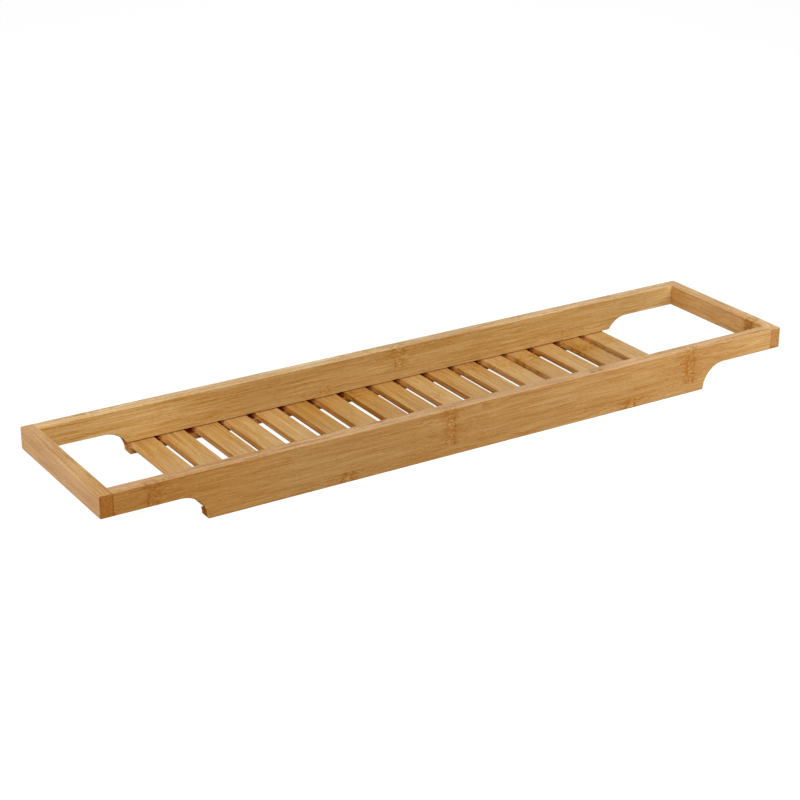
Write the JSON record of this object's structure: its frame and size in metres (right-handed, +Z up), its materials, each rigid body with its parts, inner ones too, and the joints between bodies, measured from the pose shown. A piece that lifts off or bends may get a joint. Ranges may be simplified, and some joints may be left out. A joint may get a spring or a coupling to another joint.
{
  "type": "bath caddy",
  "caption": "Bamboo bath bridge with scooped side rails whose slim arms rest on the rims, and a slatted tray set low between them.",
  "frame": {"origin": "under the middle of the caddy, level with the bottom edges of the side rails", "axes": "+X along the caddy towards its right end, +Y across it towards the rear side rail, +Z up"},
  "size_m": [0.7, 0.157, 0.043],
  "materials": {
    "side_rail_bamboo": "laminated honey bamboo, grain along the rail, satin oil",
    "end_rail_bamboo": "laminated bamboo, grain across the caddy, open end grain at the front and rear, satin oil",
    "slat_bamboo": "thin bamboo strips with fine fibre lines, satin oil",
    "dowel_wood": "plain beech, glued in"
  },
  "bodies": {
    "root": {"side_rail_front": "side_rail_bamboo", "side_rail_rear": "side_rail_bamboo", "end_rail_left": "end_rail_bamboo", "end_rail_right": "end_rail_bamboo", "corner_dowels": "dowel_wood", "slat_01": "slat_bamboo", "slat_02": "slat_bamboo", "slat_03": "slat_bamboo", "slat_04": "slat_bamboo", "slat_05": "slat_bamboo", "slat_06": "slat_bamboo", "slat_07": "slat_bamboo", "slat_08": "slat_bamboo", "slat_09": "slat_bamboo", "slat_10": "slat_bamboo", "slat_11": "slat_bamboo", "slat_12": "slat_bamboo", "slat_13": "slat_bamboo", "slat_14": "slat_bamboo", "slat_15": "slat_bamboo", "slat_16": "slat_bamboo", "slat_17": "slat_bamboo"}
  },
  "joints": []
}
